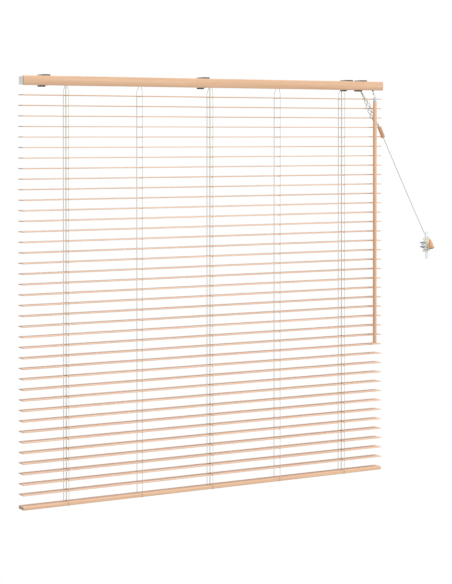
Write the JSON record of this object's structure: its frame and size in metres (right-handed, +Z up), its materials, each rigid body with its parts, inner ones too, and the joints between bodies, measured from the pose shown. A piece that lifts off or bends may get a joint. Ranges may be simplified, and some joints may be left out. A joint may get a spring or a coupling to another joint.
{
  "type": "venetian blind",
  "caption": "Horizontal wooden slat blind with a headrail, valance, tilting wand, ladder cords, and a lift cord wound on a wall cleat.",
  "frame": {"origin": "middle of the plane of the brackets' top faces, over the slats' centre line", "axes": "+X along the slats towards the wand, +Y towards the wall, +Z up"},
  "size_m": [1.0405, 0.0473, 0.8984],
  "materials": {
    "slat_wood": "satin lacquer",
    "rail_wood": "satin lacquer",
    "valance_wood": "satin lacquer",
    "wand_wood": "satin lacquer",
    "turned_wood": "satin lacquer",
    "channel_paint": "satin",
    "cap_plastic": "satin",
    "bracket_steel": "satin",
    "white_nylon": "matte",
    "rod_steel": "zinc plated",
    "worm_steel": "satin",
    "connector_clear": "clear gloss",
    "cleat_clear": "clear gloss",
    "ladder_cord": "braided, matte",
    "lift_cord": "braided, matte",
    "pull_cord": "braided, matte"
  },
  "bodies": {
    "root": {"headrail": "channel_paint", "headrail_end_caps": "cap_plastic", "valance": "valance_wood", "mounting_brackets": "bracket_steel", "drum_cradles": "white_nylon", "tilter_housing": "white_nylon", "cord_lock": "white_nylon", "lift_cords": "lift_cord", "pull_cord": "pull_cord", "cord_wrap": "pull_cord", "cord_joiner": "turned_wood", "cord_cleat": "cleat_clear", "tassel": "turned_wood"},
    "tilt_drive": {"tilt_rod": "rod_steel", "ladder_drums": "white_nylon"},
    "worm": {"tilt_worm": "worm_steel"},
    "wand_link": {"wand_connector": "connector_clear"},
    "wand_stick": {"wand": "wand_wood"},
    "ladder_front": {"ladder_front_cords": "ladder_cord"},
    "ladder_back": {"ladder_back_cords": "ladder_cord"},
    "bottom_rail": {"bottom_rail": "rail_wood"},
    "slat_01": {"slat_01": "slat_wood"},
    "slat_02": {"slat_02": "slat_wood"},
    "slat_03": {"slat_03": "slat_wood"},
    "slat_04": {"slat_04": "slat_wood"},
    "slat_05": {"slat_05": "slat_wood"},
    "slat_06": {"slat_06": "slat_wood"},
    "slat_07": {"slat_07": "slat_wood"},
    "slat_08": {"slat_08": "slat_wood"},
    "slat_09": {"slat_09": "slat_wood"},
    "slat_10": {"slat_10": "slat_wood"},
    "slat_11": {"slat_11": "slat_wood"},
    "slat_12": {"slat_12": "slat_wood"},
    "slat_13": {"slat_13": "slat_wood"},
    "slat_14": {"slat_14": "slat_wood"},
    "slat_15": {"slat_15": "slat_wood"},
    "slat_16": {"slat_16": "slat_wood"},
    "slat_17": {"slat_17": "slat_wood"},
    "slat_18": {"slat_18": "slat_wood"},
    "slat_19": {"slat_19": "slat_wood"},
    "slat_20": {"slat_20": "slat_wood"},
    "slat_21": {"slat_21": "slat_wood"},
    "slat_22": {"slat_22": "slat_wood"},
    "slat_23": {"slat_23": "slat_wood"},
    "slat_24": {"slat_24": "slat_wood"},
    "slat_25": {"slat_25": "slat_wood"},
    "slat_26": {"slat_26": "slat_wood"},
    "slat_27": {"slat_27": "slat_wood"},
    "slat_28": {"slat_28": "slat_wood"},
    "slat_29": {"slat_29": "slat_wood"},
    "slat_30": {"slat_30": "slat_wood"},
    "slat_31": {"slat_31": "slat_wood"},
    "slat_32": {"slat_32": "slat_wood"},
    "slat_33": {"slat_33": "slat_wood"},
    "slat_34": {"slat_34": "slat_wood"},
    "slat_35": {"slat_35": "slat_wood"},
    "slat_36": {"slat_36": "slat_wood"},
    "slat_37": {"slat_37": "slat_wood"},
    "slat_38": {"slat_38": "slat_wood"},
    "slat_39": {"slat_39": "slat_wood"}
  },
  "joints": [
    {"name": "tilt", "type": "hinge", "parent": "root", "child": "tilt_drive", "pos_m": [0, 0, -0.0115], "axis": [1, 0, 0], "range_deg": [-112, 112], "deforming": ["ladder_front_cords", "ladder_back_cords", "lift_cords"]},
    {"name": "slat_01_tilt", "type": "hinge", "parent": "root", "child": "slat_01", "pos_m": [0, 0, -0.0427], "axis": [1, 0, 0], "range_deg": [-70.5, 70.5]},
    {"name": "slat_02_tilt", "type": "hinge", "parent": "root", "child": "slat_02", "pos_m": [0, 0, -0.0644], "axis": [1, 0, 0], "range_deg": [-70.5, 70.5]},
    {"name": "slat_03_tilt", "type": "hinge", "parent": "root", "child": "slat_03", "pos_m": [0, 0, -0.0861], "axis": [1, 0, 0], "range_deg": [-70.5, 70.5]},
    {"name": "slat_04_tilt", "type": "hinge", "parent": "root", "child": "slat_04", "pos_m": [0, 0, -0.1078], "axis": [1, 0, 0], "range_deg": [-70.5, 70.5]},
    {"name": "slat_05_tilt", "type": "hinge", "parent": "root", "child": "slat_05", "pos_m": [0, 0, -0.1295], "axis": [1, 0, 0], "range_deg": [-70.5, 70.5]},
    {"name": "slat_06_tilt", "type": "hinge", "parent": "root", "child": "slat_06", "pos_m": [0, 0, -0.1512], "axis": [1, 0, 0], "range_deg": [-70.5, 70.5]},
    {"name": "slat_07_tilt", "type": "hinge", "parent": "root", "child": "slat_07", "pos_m": [0, 0, -0.1729], "axis": [1, 0, 0], "range_deg": [-70.5, 70.5]},
    {"name": "slat_08_tilt", "type": "hinge", "parent": "root", "child": "slat_08", "pos_m": [0, 0, -0.1946], "axis": [1, 0, 0], "range_deg": [-70.5, 70.5]},
    {"name": "slat_09_tilt", "type": "hinge", "parent": "root", "child": "slat_09", "pos_m": [0, 0, -0.2163], "axis": [1, 0, 0], "range_deg": [-70.5, 70.5]},
    {"name": "slat_10_tilt", "type": "hinge", "parent": "root", "child": "slat_10", "pos_m": [0, 0, -0.238], "axis": [1, 0, 0], "range_deg": [-70.5, 70.5]},
    {"name": "slat_11_tilt", "type": "hinge", "parent": "root", "child": "slat_11", "pos_m": [0, 0, -0.2597], "axis": [1, 0, 0], "range_deg": [-70.5, 70.5]},
    {"name": "slat_12_tilt", "type": "hinge", "parent": "root", "child": "slat_12", "pos_m": [0, 0, -0.2814], "axis": [1, 0, 0], "range_deg": [-70.5, 70.5]},
    {"name": "slat_13_tilt", "type": "hinge", "parent": "root", "child": "slat_13", "pos_m": [0, 0, -0.3031], "axis": [1, 0, 0], "range_deg": [-70.5, 70.5]},
    {"name": "slat_14_tilt", "type": "hinge", "parent": "root", "child": "slat_14", "pos_m": [0, 0, -0.3248], "axis": [1, 0, 0], "range_deg": [-70.5, 70.5]},
    {"name": "slat_15_tilt", "type": "hinge", "parent": "root", "child": "slat_15", "pos_m": [0, 0, -0.3465], "axis": [1, 0, 0], "range_deg": [-70.5, 70.5]},
    {"name": "slat_16_tilt", "type": "hinge", "parent": "root", "child": "slat_16", "pos_m": [0, 0, -0.3682], "axis": [1, 0, 0], "range_deg": [-70.5, 70.5]},
    {"name": "slat_17_tilt", "type": "hinge", "parent": "root", "child": "slat_17", "pos_m": [0, 0, -0.3899], "axis": [1, 0, 0], "range_deg": [-70.5, 70.5]},
    {"name": "slat_18_tilt", "type": "hinge", "parent": "root", "child": "slat_18", "pos_m": [0, 0, -0.4116], "axis": [1, 0, 0], "range_deg": [-70.5, 70.5]},
    {"name": "slat_19_tilt", "type": "hinge", "parent": "root", "child": "slat_19", "pos_m": [0, 0, -0.4333], "axis": [1, 0, 0], "range_deg": [-70.5, 70.5]},
    {"name": "slat_20_tilt", "type": "hinge", "parent": "root", "child": "slat_20", "pos_m": [0, 0, -0.455], "axis": [1, 0, 0], "range_deg": [-70.5, 70.5]},
    {"name": "slat_21_tilt", "type": "hinge", "parent": "root", "child": "slat_21", "pos_m": [0, 0, -0.4767], "axis": [1, 0, 0], "range_deg": [-70.5, 70.5]},
    {"name": "slat_22_tilt", "type": "hinge", "parent": "root", "child": "slat_22", "pos_m": [0, 0, -0.4984], "axis": [1, 0, 0], "range_deg": [-70.5, 70.5]},
    {"name": "slat_23_tilt", "type": "hinge", "parent": "root", "child": "slat_23", "pos_m": [0, 0, -0.5201], "axis": [1, 0, 0], "range_deg": [-70.5, 70.5]},
    {"name": "slat_24_tilt", "type": "hinge", "parent": "root", "child": "slat_24", "pos_m": [0, 0, -0.5418], "axis": [1, 0, 0], "range_deg": [-70.5, 70.5]},
    {"name": "slat_25_tilt", "type": "hinge", "parent": "root", "child": "slat_25", "pos_m": [0, 0, -0.5635], "axis": [1, 0, 0], "range_deg": [-70.5, 70.5]},
    {"name": "slat_26_tilt", "type": "hinge", "parent": "root", "child": "slat_26", "pos_m": [0, 0, -0.5852], "axis": [1, 0, 0], "range_deg": [-70.5, 70.5]},
    {"name": "slat_27_tilt", "type": "hinge", "parent": "root", "child": "slat_27", "pos_m": [0, 0, -0.6069], "axis": [1, 0, 0], "range_deg": [-70.5, 70.5]},
    {"name": "slat_28_tilt", "type": "hinge", "parent": "root", "child": "slat_28", "pos_m": [0, 0, -0.6286], "axis": [1, 0, 0], "range_deg": [-70.5, 70.5]},
    {"name": "slat_29_tilt", "type": "hinge", "parent": "root", "child": "slat_29", "pos_m": [0, 0, -0.6503], "axis": [1, 0, 0], "range_deg": [-70.5, 70.5]},
    {"name": "slat_30_tilt", "type": "hinge", "parent": "root", "child": "slat_30", "pos_m": [0, 0, -0.672], "axis": [1, 0, 0], "range_deg": [-70.5, 70.5]},
    {"name": "slat_31_tilt", "type": "hinge", "parent": "root", "child": "slat_31", "pos_m": [0, 0, -0.6937], "axis": [1, 0, 0], "range_deg": [-70.5, 70.5]},
    {"name": "slat_32_tilt", "type": "hinge", "parent": "root", "child": "slat_32", "pos_m": [0, 0, -0.7154], "axis": [1, 0, 0], "range_deg": [-70.5, 70.5]},
    {"name": "slat_33_tilt", "type": "hinge", "parent": "root", "child": "slat_33", "pos_m": [0, 0, -0.7371], "axis": [1, 0, 0], "range_deg": [-70.5, 70.5]},
    {"name": "slat_34_tilt", "type": "hinge", "parent": "root", "child": "slat_34", "pos_m": [0, 0, -0.7588], "axis": [1, 0, 0], "range_deg": [-70.5, 70.5]},
    {"name": "slat_35_tilt", "type": "hinge", "parent": "root", "child": "slat_35", "pos_m": [0, 0, -0.7805], "axis": [1, 0, 0], "range_deg": [-70.5, 70.5]},
    {"name": "slat_36_tilt", "type": "hinge", "parent": "root", "child": "slat_36", "pos_m": [0, 0, -0.8022], "axis": [1, 0, 0], "range_deg": [-70.5, 70.5]},
    {"name": "slat_37_tilt", "type": "hinge", "parent": "root", "child": "slat_37", "pos_m": [0, 0, -0.8239], "axis": [1, 0, 0], "range_deg": [-70.5, 70.5]},
    {"name": "slat_38_tilt", "type": "hinge", "parent": "root", "child": "slat_38", "pos_m": [0, 0, -0.8456], "axis": [1, 0, 0], "range_deg": [-70.5, 70.5]},
    {"name": "slat_39_tilt", "type": "hinge", "parent": "root", "child": "slat_39", "pos_m": [0, 0, -0.8673], "axis": [1, 0, 0], "range_deg": [-70.5, 70.5]},
    {"name": "bottom_rail_tilt", "type": "hinge", "parent": "root", "child": "bottom_rail", "pos_m": [0, 0, -0.894], "axis": [1, 0, 0], "range_deg": [-70.5, 70.5]},
    {"name": "ladder_front_sway", "type": "hinge", "parent": "slat_01", "child": "ladder_front", "pos_m": [0, -0.01305, -0.0427], "axis": [1, 0, 0], "range_deg": [-70.5, 70.5]},
    {"name": "ladder_back_sway", "type": "hinge", "parent": "slat_01", "child": "ladder_back", "pos_m": [0, 0.01305, -0.0427], "axis": [1, 0, 0], "range_deg": [-70.5, 70.5]},
    {"name": "worm_turn", "type": "hinge", "parent": "root", "child": "worm", "pos_m": [0.4237, -0.0065, -0.00913], "axis": [0, 0.342, 0.9397], "range_deg": [-1681, 1681]},
    {"name": "wand_swing", "type": "hinge", "parent": "root", "child": "wand_link", "pos_m": [0.4237, -0.01409, -0.03], "axis": [-1, 0, 0], "range_deg": [0, 60]},
    {"name": "wand_turn", "type": "hinge", "parent": "wand_link", "child": "wand_stick", "pos_m": [0.4237, -0.02, -0.3], "axis": [0, 0, 1], "range_deg": [-1681, 1681]}
  ],
  "couplings": [
    {"joint": "slat_01_tilt", "follows": "tilt", "ratio": 0.625},
    {"joint": "slat_02_tilt", "follows": "tilt", "ratio": 0.625},
    {"joint": "slat_03_tilt", "follows": "tilt", "ratio": 0.625},
    {"joint": "slat_04_tilt", "follows": "tilt", "ratio": 0.625},
    {"joint": "slat_05_tilt", "follows": "tilt", "ratio": 0.625},
    {"joint": "slat_06_tilt", "follows": "tilt", "ratio": 0.625},
    {"joint": "slat_07_tilt", "follows": "tilt", "ratio": 0.625},
    {"joint": "slat_08_tilt", "follows": "tilt", "ratio": 0.625},
    {"joint": "slat_09_tilt", "follows": "tilt", "ratio": 0.625},
    {"joint": "slat_10_tilt", "follows": "tilt", "ratio": 0.625},
    {"joint": "slat_11_tilt", "follows": "tilt", "ratio": 0.625},
    {"joint": "slat_12_tilt", "follows": "tilt", "ratio": 0.625},
    {"joint": "slat_13_tilt", "follows": "tilt", "ratio": 0.625},
    {"joint": "slat_14_tilt", "follows": "tilt", "ratio": 0.625},
    {"joint": "slat_15_tilt", "follows": "tilt", "ratio": 0.625},
    {"joint": "slat_16_tilt", "follows": "tilt", "ratio": 0.625},
    {"joint": "slat_17_tilt", "follows": "tilt", "ratio": 0.625},
    {"joint": "slat_18_tilt", "follows": "tilt", "ratio": 0.625},
    {"joint": "slat_19_tilt", "follows": "tilt", "ratio": 0.625},
    {"joint": "slat_20_tilt", "follows": "tilt", "ratio": 0.625},
    {"joint": "slat_21_tilt", "follows": "tilt", "ratio": 0.625},
    {"joint": "slat_22_tilt", "follows": "tilt", "ratio": 0.625},
    {"joint": "slat_23_tilt", "follows": "tilt", "ratio": 0.625},
    {"joint": "slat_24_tilt", "follows": "tilt", "ratio": 0.625},
    {"joint": "slat_25_tilt", "follows": "tilt", "ratio": 0.625},
    {"joint": "slat_26_tilt", "follows": "tilt", "ratio": 0.625},
    {"joint": "slat_27_tilt", "follows": "tilt", "ratio": 0.625},
    {"joint": "slat_28_tilt", "follows": "tilt", "ratio": 0.625},
    {"joint": "slat_29_tilt", "follows": "tilt", "ratio": 0.625},
    {"joint": "slat_30_tilt", "follows": "tilt", "ratio": 0.625},
    {"joint": "slat_31_tilt", "follows": "tilt", "ratio": 0.625},
    {"joint": "slat_32_tilt", "follows": "tilt", "ratio": 0.625},
    {"joint": "slat_33_tilt", "follows": "tilt", "ratio": 0.625},
    {"joint": "slat_34_tilt", "follows": "tilt", "ratio": 0.625},
    {"joint": "slat_35_tilt", "follows": "tilt", "ratio": 0.625},
    {"joint": "slat_36_tilt", "follows": "tilt", "ratio": 0.625},
    {"joint": "slat_37_tilt", "follows": "tilt", "ratio": 0.625},
    {"joint": "slat_38_tilt", "follows": "tilt", "ratio": 0.625},
    {"joint": "slat_39_tilt", "follows": "tilt", "ratio": 0.625},
    {"joint": "bottom_rail_tilt", "follows": "tilt", "ratio": 0.625},
    {"joint": "ladder_front_sway", "follows": "tilt", "ratio": -0.625},
    {"joint": "ladder_back_sway", "follows": "tilt", "ratio": -0.625},
    {"joint": "worm_turn", "follows": "tilt", "ratio": 15},
    {"joint": "wand_turn", "follows": "tilt", "ratio": 15}
  ]
}
